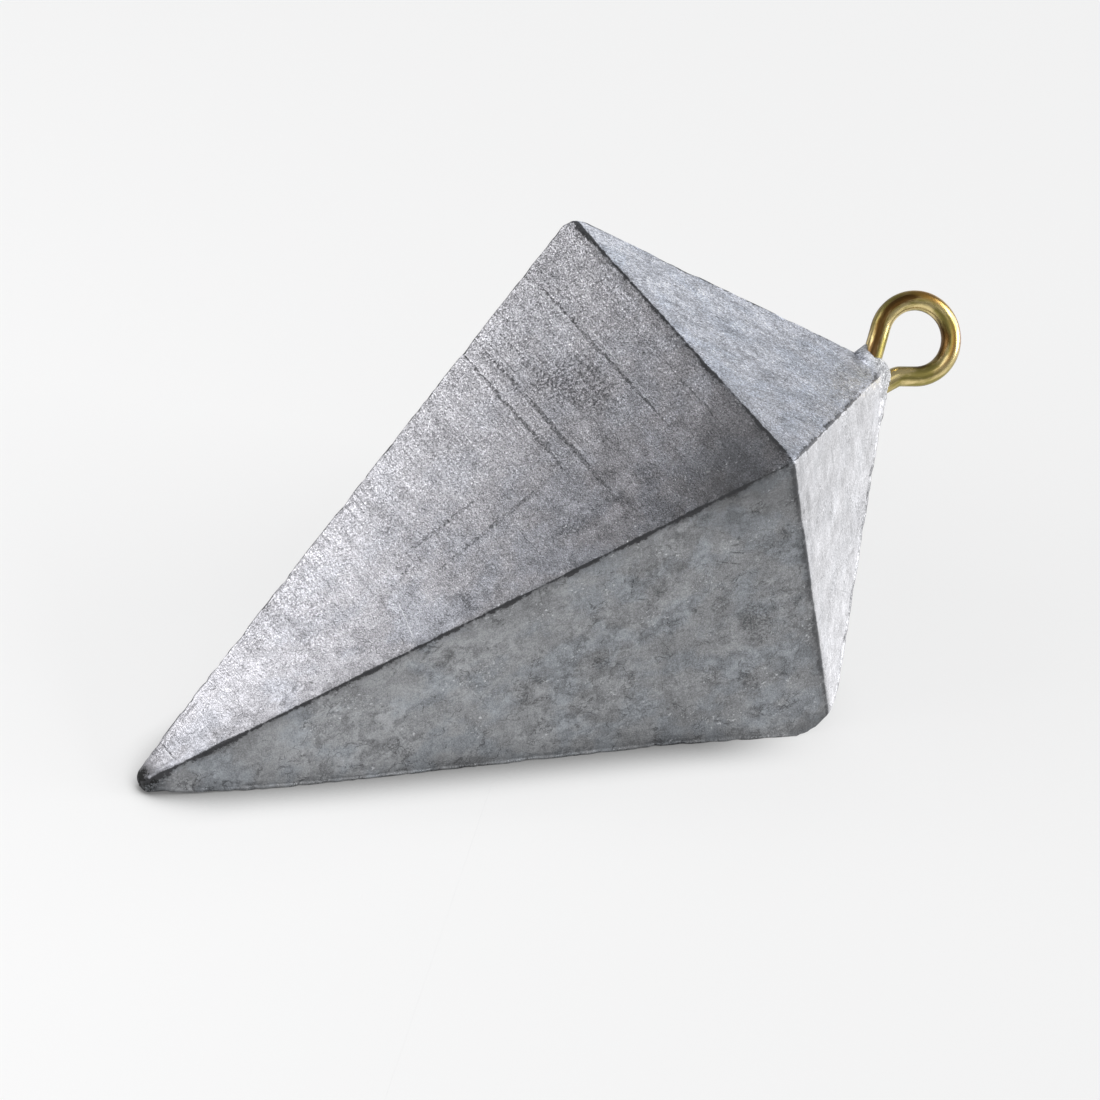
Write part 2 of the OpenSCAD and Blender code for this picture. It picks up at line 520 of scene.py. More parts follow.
    def paint(self, mesh: Mesh) -> None:
        """Writes the looks of the faces and of the edges between them as attributes.

        The attributes are the place in the standing casting, the place along and across each
        face's streaks, the tone, which is partly painted light and shade, the skin (brushing,
        patina and sparkle) and the wear (how many line widths an edge is away, its dirt and painted
        dark reflection, and grime with painted shade, which is negative where a highlight is painted).

        Args:
            mesh: A mesh in the standing pyramid's own place.
        """
        places = read_rows(mesh.vertices, "co")
        reach = self.reach(places)
        shares = np.exp((reach - reach.max(axis=1, keepdims=True)) / self.edge_width)
        shares /= shares.sum(axis=1, keepdims=True)
        lay, tone, skin = np.zeros((3, len(places), 3))
        half = self.half_width(places[:, 2])
        down = places[:, 2] / self.pyramid.point_length
        fade = 1 + self.calm_tip * np.clip(down, -1, 0)
        rise = np.clip((-down - self.light_start) / self.light_run, 0, 1)
        toward = rise ** 2 * (3 - 2 * rise) - np.clip(down, 0, 1)
        for number, face in enumerate(Face):
            look, share = self.looks[face], shares[:, number:number + 1]
            along, across = self.streaks(face)
            seed = np.full(len(places), self.face_gap * number)
            here = (reach.argmax(axis=1) == number)[:, None]
            lay += here * np.stack([places @ np.array(along), places @ np.array(across), seed], axis=1)
            side = places[:, 1] if face.value[0] else places[:, 0]
            # Painted light and shade, partly oxide: the tone grows lighter to the tip and to one side.
            light = np.exp(look.oxide_and_shade_to_tip * toward + look.oxide_and_shade_to_side * side / self.pyramid.half_side)
            tone += share * np.array(look.tone) * light[:, None]
            worn = look.worn_side * np.clip(side / half, -1, 1)
            skin += share * np.stack([
                look.brushed * (1 + 0.5 * worn) * (0.4 + 0.6 * fade),
                look.patina * (1 - worn),
                look.sparkle * fade * (1 + 0.35 * worn),
            ], axis=1)
        # The crown has its own tone and skin, which take over within a millimetre.
        risen = np.clip((places[:, 2:] - self.pyramid.shoulder_height + self.crown_start) / MM, 0, 1)
        lay = np.where(risen > 0.5, places, lay)
        tone += (np.array(self.crown) - tone) * risen
        skin += (np.array(self.crown_skin) - skin) * risen
        wear = self.edges(shares, reach, places)
        wear[:, 1:] *= 1 - risen
        written = {"cast": places, "lay": lay, "tone": tone, "skin": skin, "wear": wear}
        for name, values in written.items():
            write_attribute(mesh, name, values)

    def streaks(self, face: Face) -> tuple[Vector, Vector]:
        """Finds the directions of a face's streaks.

        Args:
            face: The face.

        Returns:
            The directions along and across the streaks, in the face's plane.
        """
        normal = self.pyramid.plane(face)[0]
        along = Vector(self.looks[face].grain)
        along -= normal * normal.dot(along)
        along.normalize()
        return along, normal.cross(along)

    def half_width(self, height: np.ndarray) -> np.ndarray:
        """Gives half the section's width at each height above the waist."""
        slope = np.where(height < 0, self.pyramid.point_length, -self.pyramid.shoulder_height)
        return self.pyramid.half_side * np.clip(1 + height / slope, 0.02, 1)

    def reach(self, places: np.ndarray) -> np.ndarray:
        """Measures how far each point stands out past each face's plane, a row for each point."""
        planes = [self.pyramid.plane(face) for face in Face]
        return np.stack([places @ np.array(normal) - distance for normal, distance in planes], axis=1)

    def edges(self, shares: np.ndarray, reach: np.ndarray, places: np.ndarray) -> np.ndarray:
        """Finds the edges between the faces, their dirt and painted dark reflection, and the grime and
        painted shade beside them.

        Args:
            shares: The share of each face in each point.
            reach: How far each point stands out past each face's plane.
            places: The points, standing as the pyramid does.

        Returns:
            The distance to an edge in line widths, its dirt and painted dark reflection, and the grime
            with painted shade and painted highlights, a row for each point.
        """
        known = {frozenset((ridge.first, ridge.second)): ridge for ridge in self.ridges}
        faces = list(Face)
        away = np.full(len(places), self.no_line)
        weight, dirt_and_dark_reflection, grime_and_painted_light = np.zeros((3, len(places)))
        # The lines, the grime and the painted shade grow broader over the last stretch before the tip.
        broad = 1 + self.broad_tip * np.clip(-places[:, 2] / self.broad_run - self.broad_start, 0, 1)
        for pair in combinations(faces, 2):
            ridge = known.get(frozenset(pair), Ridge(*pair))
            a, b = faces.index(ridge.first), faces.index(ridge.second)
            lead = reach[:, a] - reach[:, b]
            width = np.where(lead > 0, ridge.first_width, ridge.second_width) * MM * broad
            shared = shares[:, a] + shares[:, b]
            far = np.abs(lead) / width + self.off_faces * (1 - shared)
            away = np.minimum(away, far)
            here = np.exp(-np.minimum(far, 30))
            weight += here
            dirt_and_dark_reflection += here * ridge.dirt_and_dark_reflection
            # Grime beside each edge, partly painted shade.
            fade = np.exp(-np.abs(lead) / (self.grime_width * broad))
            beside = (shares[:, a] * ridge.on_first + shares[:, b] * ridge.on_second) * fade
            grime_and_painted_light = np.maximum(grime_and_painted_light, beside)
        # Spots add stains, painted shade and, where they are negative, painted highlights.
        for spot in self.spots:
            apart = np.linalg.norm(places - np.array(spot.place) * MM, axis=1) / (spot.radius * MM)
            grime_and_painted_light += spot.strength * np.clip(1.5 - 1.5 * apart, 0, 1)
        return np.stack([away, dirt_and_dark_reflection / np.maximum(weight, 1e-9), grime_and_painted_light], axis=1)

    def material(self) -> Material:
        """Builds the material.

        Returns:
            The lead material, which reads the attributes that paint writes.
        """
        material = bpy.data.materials.new(self.name)
        r = blank_recipe(material)
        place = r.attribute("cast") * MM_PER_METRE
        lay = r.attribute("lay") * MM_PER_METRE
        tone = r.attribute("tone")
        brushed, patina, sparkle = r.parts(r.attribute("skin"))
        away, dirt_and_dark_reflection, grime_and_painted_light = r.parts(r.attribute("wear"))

        # The grain of the lead: sand, streaks and clouds of several sizes, most of them round 0.
        fibre = lay * (0.7, 1, 1)
        cell = r.flow("ShaderNodeTexVoronoi", {"Vector": fibre, "Scale": 14.0}, "Color")
        facet = r.parts(cell)[0]
        sand = r.noise(fibre, 0.09, 1, 0.6) - 0.5
        bands = r.noise(lay * (0.05, 1, 1) + (9, 0, 0), 1.2, 3, 0.6) - 0.5
        streaks = r.noise(lay * (0.07, 1, 1), 0.25, 4, 0.7) - 0.5
        mottle = r.noise(place, 1.6, 5, 0.72) - 0.5
        clouds = r.noise(place + (3, 1, 4), 6.0, 2, 0.5) - 0.5
        fine = r.noise(place + (2, 6, 9), 0.26, 2, 0.6)
        swirl, cracks, flecks = self.marbled(r, place, fine)
        hairs = self.hairlines(r, place)
        dark, bright = self.placed(r, lay, mottle)
        top = self.pyramid.shoulder_height / MM
        crown = r.ramp(r.parts(place)[2], top - 2, top - 1)

        # Pits lie in patches and in the dark marks.
        pits = r.ramp(r.noise(place + (7, 3, 1), 0.20, 2, 0.6), 0.43, 0.50, 1, 0)
        pitted = r.ramp(r.noise(place + (8, 2, 5), 4.0, 2), 0.5, 0.65)
        pitted = r.largest(pitted * 0.5, r.ramp(dark, 0.03, 0.12))
        pits = pits * r.largest(pitted * (1 - patina * 0.4), sparkle * 0.25)

        # The face's tone, partly painted light and shade, made lighter and darker by the grain.
        light = 1 + mottle * 0.9 + clouds * 0.3 + bands * brushed * 0.8 + swirl * patina
        light = light + sand * r.math("MULTIPLY_ADD", sparkle, 1.3, 0.8) + streaks * brushed * 1.4
        light = light * r.math("MULTIPLY_ADD", (facet - 0.5) * sparkle, 0.8, 1.0)
        broken = r.math("MULTIPLY_ADD", mottle + fine - 0.5, 6.0, 0.75, clamp=True)
        light = light * (1 - dark * broken)
        colour = tone * r.largest(light, self.darkest)
        # Light and dark specks on the grains; the light ones are partly painted glints.
        specks_and_glints = r.ramp(facet, 0.82, 1.0) * 0.4 - r.ramp(facet, 0.0, 0.2, 1, 0) * 0.4
        colour = colour * (1 + specks_and_glints * sparkle)
        blue = r.ramp(r.noise(place + (6, 4, 2), 3.0, 3), 0.45, 0.62) * patina
        colour = colour * ((1.0, 1.0, 1.0) + r.vector(-0.03, 0.0, 0.03) * blue)

        # The line on each edge is broken up, with bright crumbs beside it.
        away = away + (r.noise(place, 0.45, 4, 0.7) - 0.5) * self.broken_line
        away = away + (r.noise(place + (4, 4, 8), 2.4, 2) - 0.5) * self.patchy_line
        crumbs = r.ramp(fine, 0.56, 0.64) * r.ramp(away, 1.0, 1.6) * r.ramp(away, 2.0, 3.5, 1, 0)
        crumbs = crumbs * r.ramp(r.noise(place + (4, 9, 8), 2.6, 2), 0.52, 0.64)

        # Bare metal and the painted highlights, then scratches and pits, then soot with painted shade and
        # the edge lines, partly painted dark reflection, go over the tone.
        painted_highlight = r.ramp(grime_and_painted_light, -0.7, -0.1, 0.9, 0.0)
        shine_and_painted_highlight = r.largest(bright, crumbs * 0.7, flecks * patina * 0.6, painted_highlight)
        colour = r.blend(shine_and_painted_highlight, colour, self.bare)
        lines = r.largest(self.scratches(r, lay) * brushed * 0.5, cracks * patina * 0.5)
        marks = r.largest(hairs * 0.5, pits * 0.85, lines)
        colour = r.blend(marks, colour, self.oxide)
        # Soot darkens beside the edges and in the spots, and part of it is painted shade.
        soot_and_painted_shade = r.math("MAXIMUM", grime_and_painted_light * (1 + mottle * 3.0 + sand * 1.5), 0.0, clamp=True)
        colour = colour * (1 - soot_and_painted_shade)
        # The edge lines are partly dirt and partly painted dark reflection on the rounded edges.
        rim = r.ramp(away, 0.45, 1.35, 1, 0) * dirt_and_dark_reflection
        colour = r.blend(rim * 0.96, colour, self.oxide)

        # The relief follows the same grain, and single facets face a little another way.
        height = sand * 0.6 + streaks * brushed * 0.5 + mottle * 0.6 + swirl * patina * 0.5
        height = height - (marks + dark) * 0.5
        tilt = (cell - (0.5, 0.5, 0.5)) * (sparkle * self.facet_tilt)
        facing = r.flow("ShaderNodeNewGeometry", out="Normal") + tilt
        facing = r.flow("ShaderNodeVectorMath", {0: facing}, operation="NORMALIZE")
        bump = r.flow("ShaderNodeBump", {
            "Strength": self.bump_strength, "Distance": self.bump_depth, "Height": height,
            "Normal": facing,
        })
        rough = mottle - painted_highlight * 0.6 + crown * 0.6 + soot_and_painted_shade * 0.8
        rough = r.math("MULTIPLY_ADD", rough, self.roughness_swing, self.roughness, clamp=True)
        shader = r.flow("ShaderNodeBsdfPrincipled", {
            "Base Color": colour, "Metallic": self.metal - r.largest(crown * 0.55, soot_and_painted_shade * 0.6),
            "Roughness": rough, "Normal": bump,
        })
        r.node("ShaderNodeOutputMaterial", {"Surface": shader})
        return material

    def marbled(self, r: Recipe, place: Flow, fine: Flow) -> tuple[Flow, Flow, Flow]:
        """Gives the clouded patina of lead that has lain in water.

        Args:
            r: The material's recipe.
            place: Where it is read, in millimetres.
            fine: Fine noise that the flecks follow.

        Returns:
            The swirls round 0, the thin cracks and the bright flecks, the last two from 0 to 1.
        """
        bent = r.bent(place, 1.25, 3, 2.4)
        swirl = r.ramp(r.noise(bent, 1.4, 7, 0.72), 0.40, 0.60, -0.16, 0.16)
        calm = r.ramp(r.noise(place + (8, 8, 2), 5.0, 2), 0.40, 0.60, 0.5, 1.4)
        swirl = swirl * calm + (r.noise(bent + (3, 8, 1), 3.5, 3, 0.6) - 0.5) * 0.5
        contour = r.noise(bent + (5, 5, 1), 2.2, 4, 0.6)
        cracks = r.ramp(r.math("ABSOLUTE", contour - 0.5), 0.004, 0.024, 1, 0)
        cracks = cracks * r.ramp(r.noise(place + (1, 7, 3), 2.0, 2), 0.50, 0.62)
        flecks = r.ramp(fine, 0.6, 0.7) * r.ramp(r.noise(place + (6, 1, 8), 3.0, 3), 0.55, 0.65)
        return swirl, cracks, flecks

    def placed(self, r: Recipe, lay: Flow, mottle: Flow) -> tuple[Flow, Flow]:
        """Draws the listed marks.

        Args:
            r: The material's recipe.
            lay: The place along and across the streaks, in millimetres.
            mottle: Noise that breaks the marks up.

        Returns:
            How much the marks darken, and how much they brighten.
        """
        bent = lay + r.vector(0.0, mottle * 0.5, 0.0)
        dark, bright = [], []
        for face, marks in self.marks.items():
            along, across = self.streaks(face)
            x, y, on_point = face.value
            length = self.pyramid.point_length if on_point else -self.pyramid.shoulder_height
            apart = self.face_gap / MM * list(Face).index(face)
            for mark in marks:
                out = Vector((x, y, 0)) * self.pyramid.half_side * (1 - mark.down * MM / length)
                point = out + Vector((abs(y), abs(x), 0)) * mark.side * MM - Vector((0, 0, mark.down * MM))
                middle = (point.dot(along) / MM, point.dot(across) / MM, apart)
                spot = r.turned(bent, radians(-mark.tilt), middle) - middle
                spot = spot * (2 / mark.length, 2 / mark.width, 0.5)
                reach = r.flow("ShaderNodeVectorMath", {0: spot}, "Value", operation="LENGTH")
                shape = r.ramp(reach + mottle * mark.soft, 1 - mark.soft, 1.0, abs(mark.strength), 0.0)
                kind = dark if mark.strength > 0 else bright
                kind.append(shape)
        return r.largest(*dark), r.largest(*bright)

    def scratches(self, r: Recipe, lay: Flow) -> Flow:
        """Gives long straight scratches that run with the streaks.

        Args:
            r: The material's recipe.
            lay: The place along and across the streaks, in millimetres.

        Returns:
            1 on a scratch and 0 off it.
        """
        line = r.noise(lay * (0.012, 1, 1), 0.55, 2, 0.6)
        stretch = r.noise(lay * (0.25, 0.8, 1) + (5, 5, 5), 1.6, 2, 0.5)
        return r.ramp(line, 0.635, 0.69) * r.ramp(stretch, 0.46, 0.6)

    def hairlines(self, r: Recipe, place: Flow) -> Flow:
        """Gives short dark hair scratches that run every way.

        Args:
            r: The material's recipe.
            place: Where they are read, in millimetres.

        Returns:
            1 on a scratch and 0 off it.
        """
        feeds = {"Vector": r.bent(place, 2, 2, 2.5), "Scale": 0.45}
        cells = r.flow("ShaderNodeTexVoronoi", feeds, "Distance", feature="DISTANCE_TO_EDGE")
        thin = r.ramp(cells, 0.004, 0.014, 1, 0)
        return thin * r.ramp(r.noise(place + (4, 9, 2), 1.6, 2), 0.52, 0.6)


@dataclass(frozen=True)
class BrassFinish:
    """Drawn brass wire that has tarnished in brown streaks along its length, with painted dark reflections
    and painted shade in the brown.
    """

    name: str = "tarnished_brass"
    bright: tuple = (0.80, 0.65, 0.32, 1.0)
    olive: tuple = (0.34, 0.285, 0.085, 1.0)
    golden: tuple = (0.46, 0.23, 0.05, 1.0)
    brown: tuple = (0.090, 0.040, 0.011, 1.0)
    pink: tuple = (0.52, 0.34, 0.27, 1.0)
    roughness: float = 0.24
    roughness_swing: float = 0.09
    bump_strength: float = 0.3
    bump_depth: float = 0.03 * MM

    def material(self) -> Material:
        """Builds the material.

        Returns:
            The brass material, which reads the wire's own skin attribute.
        """
        material = bpy.data.materials.new(self.name)
        r = blank_recipe(material)
        skin = r.attribute("skin")
        angle, outer, front = r.parts(skin)
        # Noise of three kinds, drawn out along the wire.
        stretched = skin * (1.1, 1, 1)
        drawn = r.noise(skin * (0.8, 7, 7), 1.0, 3, 0.6)
        patches = r.noise(stretched, 0.7, 4, 0.65) - 0.5
        dull = r.ramp(r.noise(stretched + (5, 2, 8), 1.0, 4, 0.62), 0.38, 0.58)

        # Where the brown lies: on the eye's left, inside it, at its foot, behind and outside. It is partly
        # tarnish and partly painted dark reflection, and behind is painted shade on the side away from the
        # front.
        left = r.ramp(angle, 2.3, 3.0) * self.zone(r, outer, 0.35, 0.8)
        inner = self.zone(r, angle, 1.0, 1.4) * r.ramp(outer, -0.9, 0.2, 1, 0)
        foot = self.zone(r, angle, -0.3, 0.7) * r.ramp(outer, -1.0, -0.4, 0.8, 0)
        tarnish_and_shade_behind = r.ramp(front, 0.0, 0.6, 0.7, 0)
        rim = r.ramp(outer, 0.86, 1.0, 0, 0.5)
        tarnish_and_dark_reflection = r.largest(left, inner, foot, tarnish_and_shade_behind, rim)
        brown = r.ramp(tarnish_and_dark_reflection + patches * 1.1 + (drawn - 0.5) * 0.7, 0.22, 0.85)

        # Where the bare brass has a pink or a golden tint.
        blush = self.zone(r, angle, 1.2, 0.9) * r.ramp(outer, 0.35, 0.8)
        gold = self.zone(r, angle, 2.4, 0.9) * r.ramp(outer + patches * 0.6, -0.1, 0.5)
        gold = r.largest(gold, self.zone(r, angle, 0.8, 1.1) * self.zone(r, outer, 0.0, 0.4))

        colour = r.blend(dull, self.bright, self.olive)
        colour = r.blend(blush * 0.85, colour, self.pink)
        colour = r.blend(gold * 0.8, colour, self.golden)
        colour = r.blend(brown * 0.94, colour, self.brown)
        rough = r.math("MULTIPLY_ADD", brown + dull, self.roughness_swing, self.roughness)
        bump = r.flow("ShaderNodeBump", {
            "Strength": self.bump_strength, "Distance": self.bump_depth, "Height": drawn + patches,
        })
        shader = r.flow("ShaderNodeBsdfPrincipled", {
            "Base Color": colour, "Metallic": 1.0, "Roughness": rough, "Normal": bump,
        })
        r.node("ShaderNodeOutputMaterial", {"Surface": shader})
        return material

    def zone(self, r: Recipe, value: Flow, middle: float, spread: float) -> Flow:
        """Gives 1 where a value is at the middle, and fades to 0 at the spread from it."""
        return r.ramp(r.math("ABSOLUTE", value - middle), 0.0, spread, 1, 0)


def placed_object(name: str, data: bpy.types.ID) -> Object:
    """Puts a mesh, a lamp or a camera into the scene as an object at the origin.

    Args:
        name: The object's name.
        data: What it shows, already in its place if it is a mesh.

    Returns:
        The new object.
    """
    thing = bpy.data.objects.new(name, data)
    bpy.context.scene.collection.objects.link(thing)
    return thing


def grown(name: str, seed: Mesh, tree: NodeTree, inputs: dict[str, object]) -> Mesh:
    """Runs a geometry tree on a seed mesh and keeps the result as a plain mesh.

    Args:
        name: The name of the result.
        seed: The mesh that the tree starts from.
        tree: The geometry tree.
        inputs: Values of the tree's named inputs.

    Returns:
        The finished mesh.
    """
    piece = placed_object(name + "_seed", seed)
    modifier = piece.modifiers.new("grow", "NODES")
    modifier.node_group = tree
    items = tree.interface.items_tree
    sockets = {item.name: item.identifier for item in items if item.in_out == "INPUT"}
    for key, value in inputs.items():
        modifier[sockets[key]] = value
    view = bpy.context.evaluated_depsgraph_get()
    mesh = bpy.data.meshes.new_from_object(piece.evaluated_get(view), depsgraph=view)
    mesh.name = name
    piece.modifiers.clear()
    bpy.data.objects.remove(piece)
    return mesh


def geometry_tree(name: str, inputs: dict[str, str]) -> tuple[Recipe, dict[str, Flow]]:
    """Starts a geometry tree with named inputs.

    Args:
        name: The tree's name.
        inputs: The socket type of each input, by its name.

    Returns:
        The recipe and the flows out of the inputs.
    """
    tree = bpy.data.node_groups.new(name, "GeometryNodeTree")
    tree.interface.new_socket("Geometry", in_out="INPUT", socket_type="NodeSocketGeometry")
    for key, kind in inputs.items():
        tree.interface.new_socket(key, in_out="INPUT", socket_type=kind)
    tree.interface.new_socket("Geometry", in_out="OUTPUT", socket_type="NodeSocketGeometry")
    r = Recipe(tree)
    start = r.node("NodeGroupInput")
    return r, {key: Flow(r, start.outputs[key]) for key in ["Geometry", *inputs]}


def end_tree(r: Recipe, shape: Flow) -> None:
    """Ends a geometry tree in Realize Instances and Set Material."""
    real = r.flow("GeometryNodeRealizeInstances", {"Geometry": shape})
    r.node("NodeGroupOutput", {"Geometry": r.flow("GeometryNodeSetMaterial", {"Geometry": real})})


@dataclass(frozen=True)
class Lump:
    """A round swelling of lead on the crown, in mm, placed from the sharp top of the lead."""

    across: float
    forward: float
    rise: float
    radius: float


@dataclass
class Crown:
    """The rough lead that rose round the wire when the casting was poured."""

    pyramid: Pyramid
    depth: float = 4.6 * MM
    start: float = 3.5 * MM
    melt: float = 0.40 * MM
    crumble: float = 0.05 * MM
    crumb: float = 0.28 * MM
    nearest: float = 0.2 * MM
    farthest: float = 6 * MM
    stride: float = 0.07 * MM
    # Reach below which a ray has missed every lump
    smallest: float = 0.5 * MM
    crumble_start: float = 2.2 * MM
    lumps: tuple[Lump, ...] = (
        Lump(-2.10, 0.05, -0.94, 0.27),
        Lump(-1.74, 0.05, -1.38, 0.44),
        Lump(1.50, 0.00, -1.75, 0.58),
        Lump(1.95, 0.00, -2.15, 0.56),
        Lump(2.45, 0.00, -2.60, 0.54),
        Lump(-1.35, 0.30, -1.60, 0.75),
        Lump(-1.30, -0.45, -1.60, 0.75),
        Lump(-0.60, 0.35, -1.05, 0.72),
        Lump(-0.10, 0.25, -0.85, 0.70),
        Lump(0.32, 0.45, -1.05, 0.70),
        Lump(0.70, 0.35, -1.55, 0.80),
        Lump(0.20, -0.55, -1.00, 0.70),
        Lump(0.60, -0.45, -1.40, 0.80),
    )

    def swell(self, places: np.ndarray) -> np.ndarray:
        """Moves the top of the casting out to the lumps.

        Args:
            places: Points of the casting, standing as the pyramid does.

        Returns:
            The points in their new places.
        """
        top = self.pyramid.shoulder_height
        rows = np.flatnonzero(places[:, 2] > top - self.start)
        middle = np.array((0, 0, top - self.depth))
        ray = places[rows] - middle
        spots = [Vector(place) / self.crumb for place in places[rows]]
        rough = np.array([noise.noise(spot) + 0.6 * noise.noise(spot * 2.3) for spot in spots])
        length = np.linalg.norm(ray, axis=1)
        ray /= length[:, None]
        # Each point's ray is walked inwards from the air until it meets the lumps.
        outer = np.full(len(rows), self.farthest)
        for _ in range(ceil((self.farthest - self.nearest) / self.stride)):
            probe = outer - self.stride
            clear = self.outside(middle + ray * probe[:, None])
            outer = np.where(clear & (probe > self.nearest), probe, outer)
        reach = outer - self.stride / 2
        reach = np.where(reach < self.smallest, 0, reach)
        # The lumps melt into the casting, and the joined surface is a little crumbly.
        gap = np.clip(0.5 + 0.5 * (reach - length) / self.melt, 0, 1)
        grown = length * (1 - gap) + reach * gap + self.melt * gap * (1 - gap)
        grown += rough * self.crumble * np.clip((places[rows, 2] - top + self.crumble_start) / MM, 0, 1)
        taken = np.clip((places[rows, 2] - top + self.start) / MM, 0, 1)
        places[rows] = middle + ray * (length + (grown - length) * taken)[:, None]
        return places

    def outside(self, places: np.ndarray) -> np.ndarray:
        """Tells which points are outside all the lumps, which melt into each other.

        Args:
            places: The points to try.

        Returns:
            True for each point that is in the air.
        """
        u, v = np.array(self.pyramid.parting), self.pyramid.forward
        total = np.zeros(len(places))
        for lump in self.lumps:
            across, forward, rise, radius = np.array(astuple(lump)) * MM
            centre = u * across + v * forward + np.array((0, 0, rise + self.pyramid.shoulder_height))
            away = np.linalg.norm(places - centre, axis=1) - radius
            total += np.exp(-away / (0.3 * self.melt))
        return total < 1


@dataclass
class LeadCasting:
    """The lead body: a square section that follows a profile, then dented and nicked.

    The foot of its front face stands out by the flare times a share at each height in mm, which
    is smoothed over the flare's steps.
    """

    pyramid: Pyramid
    finish: LeadFinish
    edge_r: float = 0.27 * MM
    shoulder_edge_r: float = 0.34 * MM
    edge_fade: float = 3 * MM
    upper_corner_r: float = 1.2 * MM
    lower_corner_r: float = 3.6 * MM
    flare: float = 0.62 * MM
    flare_heights: tuple = (-48.6, -45, -40, -33, -12, -2.4, 0.5)
    flare_shares: tuple = (0.1, 0.6, 1.0, 0.9, 0.3, 1.0, 0.15)
    flare_steps: tuple = (-1.0, -0.5, 0.0, 0.5, 1.0)
    side_columns: int = 70
    corner_columns: int = 20
    nose_rows: int = 12
    point_rows: int = 150
    waist_rows: int = 6
    shoulder_rows: int = 80
    crown_cut: float = 0.35 * MM
    row_crowding: float = 1.6
    side_crowding: float = 0.4
    roundest: float = 0.8
    upper_flash: float = 0.2
    weld: float = 1e-7
    worn_edge: float = 0.55 * MM
    dents: float = 0.07 * MM
    pits: float = 0.03 * MM
    nicks: float = 0.13 * MM
    flash: float = 0.15 * MM
    margin: float = 0.002 * MM

    def profile(self) -> Mesh:
        """Draws the profile from nose to crown, one point for each row of the casting.

        Returns:
            Points that hold the half width, the corner radius and the height.
        """
        p = self.pyramid
        low, high = p.point_angle, p.shoulder_angle
        nose_z = p.nose_r / sin(low) - p.point_length
        waist_x, waist_z = p.corner(p.half_side, p.waist_r)
        rows: list[tuple[float, float, float]] = []
        for i in range(self.nose_rows):
            turn = -pi / 2 + (pi / 2 - low) * i / self.nose_rows
            width = p.nose_r * cos(turn)
            rows.append((width, width, nose_z + p.nose_r * sin(turn)))
        start = Vector((p.nose_r * cos(low), nose_z - p.nose_r * sin(low)))
        end = Vector((waist_x + p.waist_r * cos(low), waist_z - p.waist_r * sin(low)))
        for i in range(self.point_rows):
            width, z = start.lerp(end, i / self.point_rows)
            fade = exp(-(z - start.y) / self.edge_fade)
            rows.append((width, self.edge_r + (start.x - self.edge_r) * fade, z))
        for i in range(self.waist_rows):
            turn = -low + (low + high) * i / self.waist_rows
            width, z = waist_x + p.waist_r * cos(turn), waist_z + p.waist_r * sin(turn)
            rows.append((width, self.edge_r, z))
        start = Vector((waist_x + p.waist_r * cos(high), waist_z + p.waist_r * sin(high)))
        end = Vector((self.crown_cut * tan(high), p.shoulder_height - self.crown_cut))
        for i in range(self.shoulder_rows + 1):
            width, z = start.lerp(end, 1 - (1 - i / self.shoulder_rows) ** self.row_crowding)
            grow = 1 - exp(-(z - start.y) / self.edge_fade)
            radius = self.edge_r + (self.shoulder_edge_r - self.edge_r) * grow
            rows.append((width, min(radius, self.roundest * width), z))
        rows.append((0, 0, end.y))
        mesh = bpy.data.meshes.new("profile")
        mesh.from_pydata(rows, [], [])
        return mesh

    def tree(self) -> NodeTree:
        """Builds the geometry tree that lofts the section and wears it.

        Returns:
            The tree, whose sizes are named inputs.
        """
        sizes = ["Dents", "Pits", "Nicks", "Flash"]
        counts = ["Rows", "Side columns", "Corner columns"]
        kinds = dict.fromkeys(sizes, "NodeSocketFloat") | dict.fromkeys(counts, "NodeSocketInt")
        r, given = geometry_tree("lead_casting", kinds)
        side, turned = given["Side columns"], given["Corner columns"]
        quarter = side + turned
        columns = quarter * 4
        # A flat sheet whose columns run round the casting and whose rows follow the profile.
        sheet = r.flow("GeometryNodeMeshGrid", {
            "Size X": columns, "Size Y": given["Rows"],
            "Vertices X": columns + 1, "Vertices Y": given["Rows"] + 1,
        })
        x, y, _ = r.parts(r.flow("GeometryNodeInputPosition"))
        column = r.math("ROUND", x + columns * 0.5)
        row = r.math("ROUND", y + given["Rows"] * 0.5)
        corner = r.math("FLOOR", r.math("MINIMUM", column, columns - 1) / quarter)
        step = column - corner * quarter

        # Each quarter is a straight side and then the corner that follows it.
        spread = r.math("MULTIPLY_ADD", r.math("DIVIDE", step, side, clamp=True), 2.0, -1.0)
        sine = r.math("SINE", spread * (pi / 2))
        spread = spread * (1 - self.side_crowding) + sine * self.side_crowding
        share = spread * 0.5 + 0.5
        turn = r.math("DIVIDE", step - side, turned, clamp=True) * (pi / 2)
        point = r.node("GeometryNodeSampleIndex", {"Geometry": given["Geometry"], "Index": row},
                       data_type="FLOAT_VECTOR", domain="POINT")
        r.feed(point.inputs["Value"], r.flow("GeometryNodeInputPosition"))
        width, radius, height = r.parts(Flow(r, point.outputs["Value"]))
        upper = self.corner_growth(r, width, radius, height, self.upper_corner_r)
        lower = self.corner_growth(r, width, radius, height, self.lower_corner_r)
        last = radius + self.only(r, corner, 2) * upper + self.only(r, corner, 0) * lower
        next_one = radius + self.only(r, corner, 1) * upper + self.only(r, corner, 3) * lower
        start, end = last - width, width - next_one
        arc = r.vector(r.math("COSINE", turn) - 1, r.math("SINE", turn), 0.0) * next_one
        flat = r.vector(width, start + (end - start) * share, 0.0) + arc
        place = r.turned(flat, corner * (pi / 2)) + r.vector(0.0, 0.0, height)

